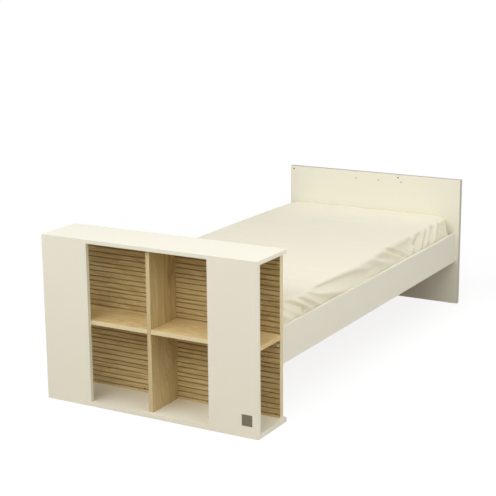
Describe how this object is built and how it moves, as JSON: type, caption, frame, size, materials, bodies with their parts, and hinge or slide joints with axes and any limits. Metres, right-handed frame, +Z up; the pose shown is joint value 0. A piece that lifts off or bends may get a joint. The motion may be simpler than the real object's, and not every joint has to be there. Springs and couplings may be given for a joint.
{
  "type": "convertible crib",
  "caption": "Convertible crib set up as a low junior bed: open bookcase at the foot, grooved end boards, side rails, slatted base and mattress in a fitted sheet.",
  "frame": {"origin": "on the floor, under the middle of the bed's length and width", "axes": "+X across the bed to its right side as seen from the foot, +Y from the bookcase at the foot to the headboard, +Z up"},
  "size_m": [1, 2.16, 0.7],
  "materials": {
    "ivory_board": "smooth ivory laminate on board",
    "oak_decor": "oak decor on board, lighter edge",
    "oak_facing": "grooved oak decor, fine horizontal grooves",
    "oak_edge": "light oak edge band",
    "bronze_plate": "bare plate, satin bronze",
    "beech_wood": "sanded beech",
    "dowel_wood": "raw beech dowel",
    "webbing": "woven tape",
    "zinc_steel": "zinc plated steel",
    "insert_brass": "plain brass",
    "white_plastic": "matte off-white plastic",
    "mattress_foam": "foam core in a quilted cover",
    "cream_sheet": "cream cotton jersey"
  },
  "bodies": {
    "root": {"bookcase_bottom_panel": "ivory_board", "bookcase_top_panel": "ivory_board", "bookcase_left_front_panel": "ivory_board", "bookcase_right_front_panel": "ivory_board", "footboard_panel": "ivory_board", "headboard_panel": "ivory_board", "left_side_rail": "ivory_board", "right_side_rail": "ivory_board", "bookcase_divider": "oak_decor", "bookcase_left_shelf": "oak_decor", "bookcase_right_shelf": "oak_decor", "footboard_oak_facing": "oak_facing", "headboard_oak_facing": "oak_facing", "footboard_edge_bands": "oak_edge", "headboard_edge_bands": "oak_edge", "label_plate": "bronze_plate", "left_ledger_strip": "beech_wood", "right_ledger_strip": "beech_wood", "slat_01": "beech_wood", "slat_02": "beech_wood", "slat_03": "beech_wood", "slat_04": "beech_wood", "slat_05": "beech_wood", "slat_06": "beech_wood", "slat_07": "beech_wood", "slat_08": "beech_wood", "slat_09": "beech_wood", "slat_10": "beech_wood", "slat_11": "beech_wood", "slat_12": "beech_wood", "slat_13": "beech_wood", "slat_14": "beech_wood", "bookcase_dowels": "dowel_wood", "rail_dowels": "dowel_wood", "left_slat_webbing": "webbing", "right_slat_webbing": "webbing", "cam_locks": "zinc_steel", "cam_bolts": "zinc_steel", "rail_brackets": "zinc_steel", "bracket_bolts": "zinc_steel", "ledger_screws": "zinc_steel", "end_slat_screws": "zinc_steel", "webbing_tacks": "zinc_steel", "threaded_inserts": "insert_brass", "bookcase_glides": "white_plastic", "headboard_glides": "white_plastic", "footboard_caps": "white_plastic", "headboard_caps": "white_plastic", "mattress_core": "mattress_foam", "fitted_sheet": "cream_sheet"}
  },
  "joints": []
}
